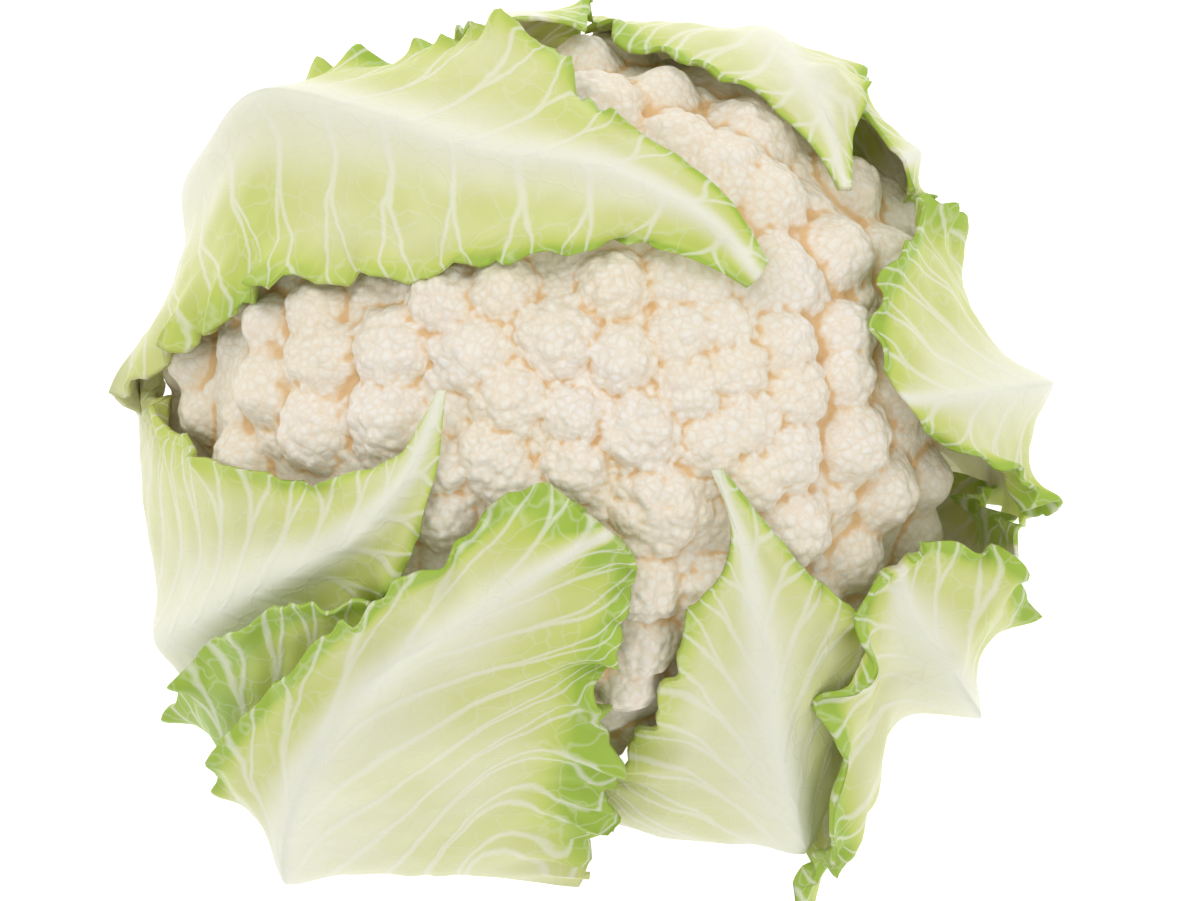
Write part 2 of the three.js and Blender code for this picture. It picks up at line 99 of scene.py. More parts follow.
# Each leaf is drawn by its rib and its two margins, from foot to tip.
LEAVES = {
    "leaf_left": {
        "belly": (3, 5), "ruffle": 2, "waves": 5,
        "rib": [
            (-28, -5, 30), (-55, -14, 33), (-82, -30, 44), (-96, -41, 62), (-88, -37, 84),
            (-72, -28, 108), (-58, -21, 121), (-47, -13, 131), (-41, -5, 136), (-37, 4, 138),
            (-34, 13, 139),
        ],
        "left": [
            (-27, 2, 30), (-53, -5, 33), (-86, -6, 42), (-103, 17, 57), (-100, 12, 73),
            (-86, 0, 98), (-67, -7, 117), (-52, -4, 128), (-43, -1, 134), (-39, 5, 137),
            (-35, 13, 139),
        ],
        "right": [
            (-25.5, -12, 30), (-53, -22, 33), (-79, -45, 42), (-80, -66, 58), (-76, -63, 78),
            (-62, -50, 98), (-50, -35, 115), (-41, -24, 126), (-37, -12, 133), (-34.5, 1, 137),
            (-33, 13, 139),
        ],
    },
    "leaf_front": {
        "belly": (4, 5), "ruffle": 2, "waves": 5,
        "rib": [
            (8.5, -27.7, 30), (19, -52, 32), (34, -76, 42), (44, -87, 58), (43, -80, 76),
            (38, -62, 96), (35, -44, 112), (32, -28, 124), (29, -15, 132), (25, -4, 137),
        ],
        "left": [
            (1.8, -29.7, 30), (9, -56, 32), (12, -80, 42), (-4, -82, 58), (1, -74, 74),
            (11, -62, 92), (16, -42, 112), (26, -27, 123), (28, -14, 131), (24, -4, 137),
        ],
        "right": [
            (15.2, -25.7, 30), (29, -48, 32), (46, -68, 42), (54, -75, 58), (55, -65, 76),
            (57, -49, 92), (55, -34, 109), (44, -25, 122), (34, -13, 132), (26.5, -4, 137),
        ],
    },
    "leaf_back_right": {
        "belly": (3, 3), "ruffle": 4, "waves": 4,
        "rib": [(24, 16.2, 30), (44, 36, 33), (60, 52, 44), (68, 62, 62), (70, 66, 80), (67, 64, 94)],
        "left": [(27.6, 10.8, 30), (51, 29, 33), (66, 44, 44), (70, 54, 62), (70, 54, 78), (69, 57, 91)],
        "right": [(20.4, 21.6, 30), (38, 43, 33), (47, 66, 44), (52, 79, 62), (55, 80, 80), (55, 76, 93)],
    },
    "leaf_top_right": {
        "belly": (3, 4), "ruffle": 1.5, "waves": 5,
        "rib": [
            (10.9, 26.9, 30), (22, 51, 33), (31, 77, 44), (35, 90, 62), (38, 90, 80),
            (42, 84, 92), (48, 76, 101), (51, 67, 106), (53.5, 57, 109),
        ],
        "left": [
            (16.9, 24.5, 30), (31, 47, 33), (46, 69, 44), (56, 82, 60), (57, 81, 78),
            (55, 77, 91), (54, 70, 99), (55, 63, 105), (55, 57, 108.5),
        ],
        "right": [
            (4.9, 29.3, 30), (12, 55, 33), (8, 84, 44), (-2, 92, 64), (0, 91, 84),
            (14, 85, 98), (31, 80, 103), (45, 69, 106), (52, 57, 109),
        ],
    },
    "leaf_right_small": {
        "belly": (3, 3), "ruffle": 4.5, "waves": 4,
        "rib": [
            (27.6, -9, 30), (53, -17, 33), (78, -24, 44), (86, -27, 62), (91, -25, 80), (92, -23, 93),
        ],
        "left": [
            (25.4, -15.7, 30), (50, -26, 33), (70, -38, 44), (79, -38, 60), (83, -36, 78), (86, -33, 90),
        ],
        "right": [
            (29.8, -2.3, 30), (56, -8, 33), (84, -6, 44), (87, -12, 60), (90, -15, 78), (91, -16, 90),
        ],
    },
    "leaf_front_left_low": {
        "belly": (3, 3), "ruffle": 3.4, "waves": 5,
        "rib": [
            (-21.5, -19.4, 30), (-42, -40, 33), (-62, -59, 44), (-68, -63, 62), (-70, -62, 82),
            (-62, -55, 100), (-50, -45, 112), (-40, -37, 119),
        ],
        "left": [
            (-25, -15, 30), (-47, -34, 33), (-73, -51, 44), (-85, -51, 60), (-86, -46, 78),
            (-74, -34, 101), (-60, -31, 113), (-47, -33, 119),
        ],
        "right": [
            (-17, -25, 30), (-35, -47, 33), (-48, -70, 44), (-56, -74, 60), (-55, -70, 80),
            (-50, -64, 95), (-42, -52, 108), (-36, -41, 117),
        ],
    },
    "leaf_top": {
        "belly": (4, 4), "ruffle": 2.4, "waves": 4,
        "rib": [
            (-8.4, 23, 17), (-17, 50, 20), (-24, 77, 36), (-22, 94, 60), (-18, 96, 82), (-13, 95, 98),
        ],
        "left": [
            (-1.8, 25.5, 17), (-8, 54, 20), (-6, 80, 36), (-4, 97, 60), (-1, 98, 80), (-3, 93, 97),
        ],
        "right": [
            (-15, 20.5, 17), (-26, 47, 20), (-40, 72, 36), (-36, 88, 60), (-31, 91, 78), (-21, 95, 92),
        ],
    },
    "leaf_right": {
        "belly": (0, -3), "ruffle": 3.6, "waves": 5,
        "rib": [
            (24.2, 4.3, 17), (56, 10, 20), (84, 14, 36), (96, 14, 58), (98, 14, 79),
            (89, 13, 96), (77, 11.5, 111), (66, 11, 119),
        ],
        "left": [
            (25.4, -2.4, 17), (58, 0, 20), (82, -10, 36), (91, -14, 58), (93, -12, 78),
            (92, -12, 90), (84, -4, 104), (72, 4, 116),
        ],
        "right": [
            (23, 11, 17), (53, 20, 20), (70, 36, 36), (69, 42, 56), (69, 47, 80),
            (66, 54, 95), (62, 40, 112), (61, 18, 120),
        ],
    },
    "leaf_front_right": {
        "belly": (-20, 1), "ruffle": 4.4, "waves": 5,
        "rib": [
            (19.4, -15.1, 17), (44, -34, 20), (70, -52, 36), (82, -58, 58), (81, -54, 80),
            (74, -44, 95), (67, -34, 107), (65, -25, 113),
        ],
        "left": [
            (15.1, -20.5, 17), (37, -43, 20), (46, -76, 36), (42, -93, 52), (44, -84, 70),
            (46, -62, 92), (54, -45, 106), (61, -26, 114),
        ],
        "right": [
            (23.7, -9.7, 17), (50, -26, 20), (74, -36, 36), (82, -36, 56), (84, -30, 80),
            (83, -20, 98), (77, -20, 107), (67, -22, 113.5),
        ],
    },
    "leaf_top_left": {
        "belly": (1, 0), "ruffle": 3, "waves": 5,
        "rib": [
            (-21, 12, 17), (-54, 32, 22), (-82, 48, 40), (-90, 55, 65), (-84, 65, 90),
            (-72, 77, 108), (-48, 72, 121), (-25, 65, 130), (1, 61, 135), (23, 50, 137),
            (34, 38, 134),
        ],
        "left": [
            (-17.5, 18, 17), (-49, 42, 22), (-64, 63, 38), (-68, 75, 60), (-62, 80, 86),
            (-50, 86, 98), (-33, 90, 106), (-14, 93, 110), (4, 72, 129), (27, 55, 135),
            (36, 41, 134),
        ],
        "right": [
            (-24.5, 6, 17), (-59, 22, 22), (-92, 22, 38), (-101, 9, 62), (-96, 20, 85),
            (-84, 29, 104), (-66, 36, 118), (-43, 37, 129), (-14, 40, 134), (8, 45, 136),
            (31, 35, 133),
        ],
    },
    "leaf_front_left": {
        "belly": (3, 2), "ruffle": 3.4, "waves": 5,
        "rib": [
            (-14.1, -20.1, 17), (-32, -46, 20), (-54, -76, 36), (-68, -94, 58), (-68, -82, 82),
            (-58, -59, 108), (-44, -45, 121), (-28, -35, 131), (-13, -26, 138), (2, -17, 142),
        ],
        "left": [
            (-19.8, -16.1, 17), (-42, -40, 20), (-60, -70, 36), (-74, -80, 57), (-79, -64, 78),
            (-66, -46, 106), (-50, -33, 120), (-33, -22, 131), (-17, -7, 139), (-4, -12, 141),
        ],
        "right": [
            (-8.4, -24.1, 17), (-22, -52, 20), (-22, -86, 34), (-8, -94, 50), (0, -84, 72),
            (3, -66, 94), (2, -54, 112), (6, -40, 124), (9, -26, 134), (5, -19, 140),
        ],
    },
}
LEAF_COLUMNS = np.array([-1, -0.8, -0.55, -0.3, -0.1, 0, 0.1, 0.3, 0.55, 0.8, 1])
ROWS_PER_STATION = 2.2
RIB = {"foot": 7.5, "tip": 1, "slope": 1.1}
RIB_COLUMNS = slice(3, 8)  # the columns that the rib spans
FOOT_ROWS = 2  # the rows next to the stump, which nothing lifts

# How each leaf looks: how green its blade, margin and tip are, how far its margin flares, how high it
# crinkles in mm, and the spacing of its side veins in mm and their angle to the rib in degrees
LOOKS = {
    "leaf_left": {
        "green": 0.42, "margin": 0.5, "tip": 0.4,
        "flare": 1.05, "crinkle": 2.6, "spacing": 13, "angle": 34,
    },
    "leaf_front": {
        "green": 0.36, "margin": 0.5, "tip": 0.5,
        "flare": 1.14, "crinkle": 2.4, "spacing": 18, "angle": 24,
    },
    "leaf_back_right": {
        "green": 0.7, "margin": 0.6, "tip": 0.5,
        "flare": 1.04, "crinkle": 2.8, "spacing": 11, "angle": 42,
    },
    "leaf_top_right": {
        "green": 0.4, "margin": 0.6, "tip": 0.4,
        "flare": 1.04, "crinkle": 2, "spacing": 12, "angle": 34,
    },
    "leaf_right_small": {
        "green": 0.8, "margin": 0.7, "tip": 0.6,
        "flare": 1.05, "crinkle": 3.6, "spacing": 11, "angle": 42,
    },
    "leaf_front_left_low": {
        "green": 0.9, "margin": 0.8, "tip": 0.5,
        "flare": 1.05, "crinkle": 3.2, "spacing": 11, "angle": 42,
    },
    "leaf_top": {
        "green": 0.5, "margin": 0.5, "tip": 0.3,
        "flare": 1.04, "crinkle": 2.2, "spacing": 12, "angle": 40,
    },
    "leaf_right": {
        "green": 0.42, "margin": 0.6, "tip": 0.4,
        "flare": 1.05, "crinkle": 3, "spacing": 14, "angle": 40,
    },
    "leaf_front_right": {
        "green": 0.42, "margin": 0.9, "tip": 0.4,
        "flare": 1.05, "crinkle": 3.6, "spacing": 13, "angle": 40,
    },
    "leaf_top_left": {
        "green": 0.48, "margin": 0.5, "tip": 0.4,
        "flare": 1.05, "crinkle": 3.4, "spacing": 16, "angle": 50,
    },
    "leaf_front_left": {
        "green": 0.46, "margin": 0.9, "tip": 0.9,
        "flare": 1.05, "crinkle": 3.2, "spacing": 24, "angle": 21,
    },
}
LEAF_MESH = {"big": (160, 32), "small": (90, 24), "gather": 1.15}  # rows, and columns on each side
BIG_LEAF_STATIONS = 8
THINNED = 0.92  # the blade's thickness here, as a share of the solid's

# In mm: how much thicker the tips with a knob are, and the side veins' relief
KNOBS = {"leaf_top_left": 2.6, "leaf_front_left": 2.2, "leaf_front_right": 3.0, "leaf_top_right": 1.4}
VEIN_RELIEF = {"width": 2.1, "pucker": 0.75, "thickness": 0.4, "blister": 0.3}
FORK_SPREAD = 0.24

# Where each detail of a leaf starts and where it is full: as shares of the way from the rib to the margin,
# as shares of the way from foot to tip, and by the blade's width on that side in mm
ACROSS = {
    "veins": (0.05, 0.2), "pucker": (0.05, 0.3), "forks": (0.3, 1.0), "crinkle": (0.62, 1.0),
    "flare": (0.7, 1.0), "teeth": (0.8, 1.0), "green": (0.06, 0.5), "margin": (0.6, 1.0),
}
ALONG = {
    "ruffle": (0.12, 0.35), "detail": (0.14, 0.3), "flare_end": (0.55, 0.7), "knob": (0.94, 0.985),
    "green": (0.22, 0.55), "tip": (0.8, 1.0),
}
BY_WIDTH = {"veins": (0, 2), "teeth": (0, 10), "crinkle": (4, 16), "pucker": (4, 20)}

# Waves along a margin: each one's height, as a share of the leaf's crinkle, and its length in mm over 2 pi
LONG_WAVE = (0.75, 3.4)
SHORT_WAVE = (0.45, 1.5)
TINY_WAVE = (0.12, 0.95)
# The cuts between a margin's lobes and teeth: their depth, as a share of the blade's width, and the length
LOBES = (0.028, 2.9)
TEETH = (0.014, 1.1)


def chance(n):
    """A repeatable number from 0 to 1 for each whole number"""
    s = np.sin(np.asarray(n) * 12.9898 + 4.1414) * 43758.5453
    return s - np.floor(s)


def smooth(low, high, x):
    """From 0 at low to 1 at high, with soft ends"""
    t = np.clip((x - low) / (high - low), 0, 1)
    return t * t * (3 - 2 * t)


def unit(v):
    return v / np.maximum(np.linalg.norm(v, axis=-1, keepdims=True), 1e-12)


# The curd

def outline(d):
    """Distance from the middle of the head to the curd's outline, along unit directions"""
    high = np.where(d[..., 2] > 0, CURD["rise"], CURD["drop"])
    level = (d[..., 0] / CURD["half_width"]) ** 2 + (d[..., 1] / CURD["half_depth"]) ** 2
    return 1 / np.sqrt(level + (d[..., 2] / high) ** 2)


def towards(x, y):
    """The direction from the middle of the head to the point of its dome above (x, y)"""
    ex = (x - HEAD[0]) / CURD["half_width"]
    ey = (y - HEAD[1]) / CURD["half_depth"]
    level = max(1 - ex * ex - ey * ey, 0.02)
    return unit(np.array([x - HEAD[0], y - HEAD[1], CURD["rise"] * math.sqrt(level)]))


def floret_spheres():
    """Middles from HEAD, and radii, of all the florets"""
    heads = [(towards(x, y), radius) for x, y, radius in FLORETS]
    for i in range(FILL["count"]):
        z = 1 - (i + 0.5) * (1 - math.cos(math.radians(FILL["lowest"]))) / FILL["count"]
        flat = math.sqrt(1 - z * z)
        turn = i * GOLDEN_ANGLE
        axis = np.array([flat * math.cos(turn), flat * math.sin(turn), z])
        at = axis * outline(axis)
        if all(np.linalg.norm(at - a * outline(a)) >= FILL["spacing"] for a, _ in heads):
            heads.append((axis, FILL["radius"] * (FILL["least"] + FILL["more"] * chance(i))))
    return [(axis * (outline(axis) - FLORET_SINK * radius), radius) for axis, radius in heads]


FLORET_SPHERES = floret_spheres()


def fan(axis, count, spread, turn):
    """Unit directions spread evenly round an axis, from the axis down"""
    z = 1 - (np.arange(count) + 0.5) * spread / count
    flat = np.sqrt(1 - z * z)
    angle = np.arange(count) * GOLDEN_ANGLE + turn
    side = unit(np.cross(axis, ASLANT))
    other = np.cross(axis, side)
    level = (flat * np.cos(angle))[:, None] * side + (flat * np.sin(angle))[:, None] * other
    return level + z[:, None] * axis


def ray_reach(rays, middles, radii):
    """How far rays from the middle of the head reach on the farthest of some spheres, or 0"""
    forward = rays @ np.atleast_2d(middles).T
    inside = radii ** 2 - np.sum(np.atleast_2d(middles) ** 2, axis=1) + forward ** 2
    return np.where(inside > 0, forward + np.sqrt(np.maximum(inside, 0)), 0).max(axis=1)


def rays_near(rays, middle, radius):
    """The numbers of the rays that pass within a radius of a point"""
    distance = np.linalg.norm(middle)
    closest = math.sqrt(1 - min((radius / distance) ** 2, 0.99))
    return np.nonzero(rays @ (middle / distance) > closest)[0]


def plain_reach(d):
    """The curd's reach with its florets alone, as rounded masses"""
    reach = outline(d) * CORE_SHARE
    for middle, radius in FLORET_SPHERES:
        reach = np.maximum(reach, ray_reach(d, middle, radius))
    return cut_flat(reach, d)


def cut_flat(reach, d):
    """The reach, cut off where the curd is flat underneath"""
    floor = (HEAD[2] - CURD["flat_under"]) / np.maximum(-d[:, 2], 1e-6)
    return np.where(d[:, 2] < 0, np.minimum(reach, floor), reach)


def undergrowth():
    """Small florets all over, a little deeper than the others, which show in the gaps between them"""
    count = UNDERGROWTH["count"]
    lowest = math.cos(math.radians(UNDERGROWTH["lowest"]))
    ways = fan(UP, count, 1 - lowest, UNDERGROWTH["turn"])
    depth = outline(ways) * UNDERGROWTH["level"] - UNDERGROWTH["radius"]
    return [(way * far, UNDERGROWTH["radius"]) for way, far in zip(ways, depth)]


def budded_reach(d):
    """The curd's reach with heads on the florets and buds on the heads"""
    reach = outline(d) * BUDDED_CORE_SHARE
    extra = [(np.array(place), radius) for *place, radius in SIDE_FLORETS]
    for k, (middle, radius) in enumerate(FLORET_SPHERES + extra + undergrowth()):
        near = rays_near(d, middle, NEAR_FLORET * radius)
        if near.size:
            reach[near] = np.maximum(reach[near], floret_reach(d[near], middle, radius, k))
    return cut_flat(reach, d)


def floret_reach(rays, middle, radius, k):
    """How far rays reach on one floret's dome, its heads and their buds"""
    middle = middle + unit(middle) * radius * ROUNDING
    radius = radius * (1 - ROUNDING)
    best = ray_reach(rays, middle, radius * HEADS["dome"])
    for j, way in enumerate(fan(unit(middle), HEADS["count"], HEADS["spread"], FULL_TURN * chance(k))):
        head_radius = HEADS["radius"] * radius * (HEADS["least"] + HEADS["more"] * chance(100 * k + j))
        head = middle + HEADS["reach"] * radius * way
        part = rays_near(rays, head, NEAR_HEAD * head_radius)
        if not part.size:
            continue
        buds = fan(way, BUDS["count"], BUDS["spread"], FULL_TURN * chance(7 * k + j))
        draws = chance(np.arange(BUDS["count"]) + 31 * j)
        sizes = BUDS["radius"] * head_radius * (BUDS["least"] + BUDS["more"] * draws)
        on_head = ray_reach(rays[part], head, head_radius * HEADS["core"])
        on_buds = ray_reach(rays[part], head + BUDS["reach"] * head_radius * buds, sizes)
        best[part] = np.maximum(best[part], np.maximum(on_head, on_buds))
    return best


def mesh_object(name, points, faces, attributes=(), normals=None):
    """A smooth object from points in mm and faces, with a number per point under each attribute's name"""
    mesh = bpy.data.meshes.new(name)
    mesh.from_pydata((points * MM).tolist(), [], faces.tolist())
    for key, values in attributes:
        layer = mesh.attributes.new(key, "FLOAT", "POINT")
        layer.data.foreach_set("value", np.asarray(values, dtype=np.float32))
    mesh.polygons.foreach_set("use_smooth", [True] * len(mesh.polygons))
    if normals is not None:
        mesh.normals_split_custom_set_from_vertices(normals.tolist())
    piece = bpy.data.objects.new(name, mesh)
    bpy.context.collection.objects.link(piece)
    return piece


def ball(splits):
    """Unit directions and triangles of a ball, each side of an icosahedron split into `splits` parts"""
    made = bmesh.new()
    bmesh.ops.create_icosphere(made, subdivisions=1, radius=1)
    corners = np.array([v.co[:] for v in made.verts])
    sides = np.array([[v.index for v in f.verts] for f in made.faces])
    made.free()
    i, j = np.meshgrid(np.arange(splits + 1), np.arange(splits + 1), indexing="ij")
    inside = i + j <= splits
    number = np.full(i.shape, -1)
    number[inside] = np.arange(inside.sum())
    shares = np.stack([splits - i - j, i, j], axis=-1)[inside] / splits
    up = inside[:-1, :-1] & (number[1:, :-1] >= 0) & (number[:-1, 1:] >= 0)
    down = number[1:, 1:] >= 0
    pattern = np.concatenate([
        np.stack([number[:-1, :-1][up], number[1:, :-1][up], number[:-1, 1:][up]], axis=-1),
        np.stack([number[1:, :-1][down], number[1:, 1:][down], number[:-1, 1:][down]], axis=-1),
    ])
    points = unit(np.concatenate([shares @ corners[side] for side in sides]))
    faces = np.concatenate([pattern + k * len(shares) for k in range(len(sides))])
    _, first, same = np.unique(np.round(points, 6), axis=0, return_index=True, return_inverse=True)
    return points[first], same.reshape(-1)[faces]


def gathered(directions, share):
    """Directions drawn together towards the top, by one share everywhere across the angle's half tangent"""
    flat = np.hypot(directions[:, 0], directions[:, 1])
    down = 2 * np.arctan(share * np.tan(np.arctan2(flat, directions[:, 2]) / 2 * 0.99999))
    turn = np.arctan2(directions[:, 1], directions[:, 0])
    return np.stack([np.sin(down) * np.cos(turn), np.sin(down) * np.sin(turn), np.cos(down)], axis=-1)


def evened(values, faces, times):
    """Values averaged with their neighbours over and over"""
    ends = np.concatenate([faces[:, [0, 1]], faces[:, [1, 2]], faces[:, [2, 0]]])
    count = np.bincount(ends[:, 0], minlength=len(values)) + np.bincount(ends[:, 1], minlength=len(values))
    for _ in range(times):
        total = np.bincount(ends[:, 0], values[ends[:, 1]], len(values))
        total += np.bincount(ends[:, 1], values[ends[:, 0]], len(values))
        values = 0.5 * values + 0.5 * total / np.maximum(count, 1)
    return values


def vertex_normals(points, faces):
    """The surface's direction at each point, by the sizes of its triangles"""
    a, b, c = (points[faces[:, corner]] for corner in range(3))
    flat = np.cross(b - a, c - a)
    total = np.zeros(points.shape)
    for axis in range(3):
        for corner in range(3):
            total[:, axis] += np.bincount(faces[:, corner], flat[:, axis], len(points))
    return unit(total)


def curd_pieces():
    """The curd in three bands, with its creases, seams, clefts and depth at each point in mm"""
    even, faces = ball(CURD_MESH["splits"])
    directions = gathered(even, CURD_MESH["gather"])
    sharp = budded_reach(directions)
    soft = evened(sharp, faces, CURD_EVENED["soft"])
    steep = smooth(*STEEP, evened(np.abs(soft - sharp), faces, CURD_EVENED["edges"]))
    reach = soft + (evened(soft, faces, CURD_EVENED["steep"]) - soft) * steep
    # Depths below the evened surfaces and below the outline, which the curd material turns into painted
    # shade
    values = {
        "fine": soft - sharp,
        "middle": evened(reach, faces, CURD_EVENED["middle"]) - reach,
        "wide": evened(reach, faces, CURD_EVENED["wide"]) - reach,
        "deep_shade": outline(directions) - reach,
    }
    points = HEAD + directions * reach[:, None]
    normals = vertex_normals(points, faces)
    level = even[faces].mean(axis=1)[:, 2]
    made = []
    for name, low, high in CURD_BANDS:
        part = faces[(level > low) & (level <= high)]
        used, renamed = np.unique(part, return_inverse=True)
        kept = [(key, value[used]) for key, value in values.items()]
        made.append(mesh_object(name, points[used], renamed.reshape(part.shape), kept, normals[used]))
    return made


# The leaves

def spline_weights(t):
    """Twice the weights of four stations, between the second and the third"""
    return -t + 2 * t * t - t ** 3, 2 - 5 * t * t + 3 * t ** 3, t + 4 * t * t - 3 * t ** 3, t ** 3 - t * t


def curve_points(stations, u):
    """Points of a smooth curve through the stations, with u from 0 at the foot to 1 at the tip"""
    stations = np.array(stations, dtype=float)
    last = len(stations) - 1
    x = np.clip(u, 0, 1) * last
    i = np.minimum(np.floor(x).astype(int), last - 1)
    t = (x - i)[..., None]
    a, b, c, d = (stations[np.clip(i + k, 0, last)] for k in (-1, 0, 1, 2))
    weights = spline_weights(t)
    return (a * weights[0] + b * weights[1] + c * weights[2] + d * weights[3]) / 2


def margin_points(leaf, u, v):
    """Points of the margin on the side that v is on"""
    return np.where(v[..., None] < 0, curve_points(leaf["left"], u), curve_points(leaf["right"], u))


def side_width(leaf, u, v):
    """How far the margin is from the rib, in mm"""
    return np.linalg.norm(curve_points(leaf["rib"], u) - margin_points(leaf, u, v), axis=-1)


def blade_points(leaf, u, v):
    """Points of the blade's inner face, with v from -1 at the left margin to 1 at the right one"""
    rib = curve_points(leaf["rib"], u)
    margin = margin_points(leaf, u, v)
    width = side_width(leaf, u, v)
    share = np.abs(v)
    right = (v >= 0).astype(float)
    belly = np.where(v < 0, *leaf["belly"]) * 4 * share * (1 - share) * np.minimum(width / 40, 1) ** 2
    wave = np.sin(2 * math.pi * (leaf["waves"] * u + 0.35 * right))
    ruffle = leaf["ruffle"] * share ** 3 * wave * smooth(*ALONG["ruffle"], u) * np.minimum(width / 20, 1)
    points = rib + (margin - rib) * share[..., None]
    return points + unit(points - HEAD) * (belly + ruffle)[..., None]


def rib_depth(u):
    """The rib's full thickness, in mm"""
    return RIB["foot"] + (RIB["tip"] - RIB["foot"]) * u


def rib_share(leaf, u, v):
    """How much of the rib there is at a point of the blade: 1 along its middle, falling off to the sides"""
    off = np.abs(v) * side_width(leaf, u, v)
    return np.exp(-((off / (1 + RIB["slope"] * rib_depth(u))) ** 2))


def leaf_thickness(leaf, u, v):
    """The solid leaf's thickness with its rib, in mm"""
    return BLADE_THICKNESS + (rib_depth(u) - BLADE_THICKNESS) * rib_share(leaf, u, v)


class Shell:
    """What is already in place, as its reach in every direction from the middle of the head"""

    def __init__(self):
        self.turns = 96
        self.levels = 60
        row, column = np.meshgrid(np.arange(self.levels), np.arange(self.turns), indexing="ij")
        self.reach = np.zeros(row.shape)
        for dc, dr in ((0, 0), (-0.5, -0.5), (0.5, -0.5), (-0.5, 0.5), (0.5, 0.5)):
            down = (row + dr + 0.5) * math.pi / self.levels
            turn = (column + dc + 0.5) * 2 * math.pi / self.turns
            d = np.stack([np.sin(down) * np.cos(turn), np.sin(down) * np.sin(turn), np.cos(down)], axis=-1)
            found = plain_reach(d.reshape(-1, 3)).reshape(row.shape)
            self.reach = np.maximum(self.reach, found)

    def cells(self, points):
        """Rows and columns of the points' directions, and how far out the points are"""
        d = points - HEAD
        length = np.linalg.norm(d, axis=-1)
        down = np.arccos(d[..., 2] / length) / math.pi
        turn = np.mod(np.arctan2(d[..., 1], d[..., 0]) / (2 * math.pi) + 1, 1)
        row = np.minimum((down * self.levels).astype(int), self.levels - 1)
        column = np.minimum((turn * self.turns).astype(int), self.turns - 1)
        return row, column, length

    def under(self, points):
        """The farthest reach of what lies in and round each point's direction"""
        row, column, _ = self.cells(points)
        most = np.zeros(row.shape)
        for dr in (-1, 0, 1):
            for dc in (-1, 0, 1):
                near = self.reach[np.clip(row + dr, 0, self.levels - 1), (column + dc) % self.turns]
                most = np.maximum(most, near)
        return most

    def add(self, points):
        """Takes the points in as part of what is in place"""
        row, column, length = self.cells(points)
        np.maximum.at(self.reach, (row, column), length)


def lift_way(points):
    """The way a point moves off what lies under it: up on top of the head, outwards at its sides"""
    out = unit(points - HEAD)
    share = smooth(0.15, 0.6, out[..., 2:3])
    return unit(out + (UP - out) * share)


def leaf_lifts(points, shell):
    """How far each point moves to clear what is in place, evened out without coming down on it"""
    way = lift_way(points)
    moved = points.copy()
    for _ in range(4):
        out = moved - HEAD
        short = np.maximum(shell.under(moved) + LAYER_GAP - np.linalg.norm(out, axis=-1), 0)
        moved = moved + way * (short / np.sum(way * unit(out), axis=-1))[..., None]
    need = np.linalg.norm(moved - points, axis=-1)
    need[:FOOT_ROWS] = 0
    lift = need
    for _ in range(3):
        lift = np.maximum((2 * lift + sum(around(lift))) / 6, need)
        lift[:FOOT_ROWS] = 0
    return lift


def around(grid):
    """The grid moved one step each way, its edge repeated"""
    wide = np.pad(grid, ((1, 1), (1, 1)) + ((0, 0),) * (grid.ndim - 2), mode="edge")
    return wide[2:, 1:-1], wide[:-2, 1:-1], wide[1:-1, 2:], wide[1:-1, :-2]


def outward_ways(leaf, grid, u, v):
    """Directions out of the blade's outer face, evened out, and over the rib all square to its middle"""
    further, nearer, right, left = around(grid)
    square = unit(np.cross(right - left, further - nearer))
    even = unit(square + sum(around(square)))
    rib_way = unit(even[:, RIB_COLUMNS].sum(axis=1))[:, None]
    share = np.sqrt(rib_share(leaf, u, v))[..., None]
    return unit(even + (rib_way - even) * share)


def seat(row):
    """Moves a foot's end onto the stump's side"""
    onto = (stump_radius(row[:, 2]) + TOUCH_GAP) / np.hypot(row[:, 0], row[:, 1])
    row[:, :2] *= onto[:, None]


def between(grid, rows, columns):
    """Values of a coarse grid at fractional rows and columns, by smooth curves"""
    i = np.minimum(rows.astype(int), grid.shape[0] - 2)
    j = np.minimum(columns.astype(int), grid.shape[1] - 2)
    wi = np.stack(spline_weights(rows - i)) / 2
    wj = np.stack(spline_weights(columns - j)) / 2
    total = 0
    for a in range(4):
        for b in range(4):
            ia = np.clip(i + a - 1, 0, grid.shape[0] - 1)
            jb = np.clip(j + b - 1, 0, grid.shape[1] - 1)
            weight = wi[a][:, None] * wj[b][None, :]
            weight = weight.reshape(weight.shape + (1,) * (grid.ndim - 2))
            total = total + grid[ia[:, None], jb[None, :]] * weight
    return total


def draped_lifts(leaf, shell):
    """The lifts and outward ways on the coarse grid; the shell then takes in this leaf's outer face"""
    count = round(ROWS_PER_STATION * len(leaf["rib"]))
    u, v = np.meshgrid(np.arange(count) / (count - 1), LEAF_COLUMNS, indexing="ij")
    inner = blade_points(leaf, u, v)
    lift = leaf_lifts(inner, shell)
    inner = inner + lift_way(inner) * lift[..., None]
    ways = outward_ways(leaf, inner, u, v)
    outer = inner + ways * leaf_thickness(leaf, u, v)[..., None]
    seat(outer[0])
    for a in np.arange(0, 1.01, 0.25)[:, None, None]:
        for b in np.arange(0, 1.01, 0.25)[:, None, None]:
            near = outer[:-1, :-1] * (1 - a) + outer[1:, :-1] * a
            far = outer[:-1, 1:] * (1 - a) + outer[1:, 1:] * a
            shell.add(near * (1 - b) + far * b)
    return lift, ways


def vein_lines(y, x, width, look, side):
    """Side veins, with y along the rib and x away from it, in mm

    Gives a number that is whole on each vein, and how far the vein's two forks are from it in that number.
    """
    share = x / np.maximum(width, 1)
    bend = 1 - 0.25 * share + 0.12 * np.sin(x / 7 + 2 * side)
    lines = (y - x / math.tan(math.radians(look["angle"])) * bend) / look["spacing"] + 0.37 * side
    return lines, FORK_SPREAD * smooth(*ACROSS["forks"], share)


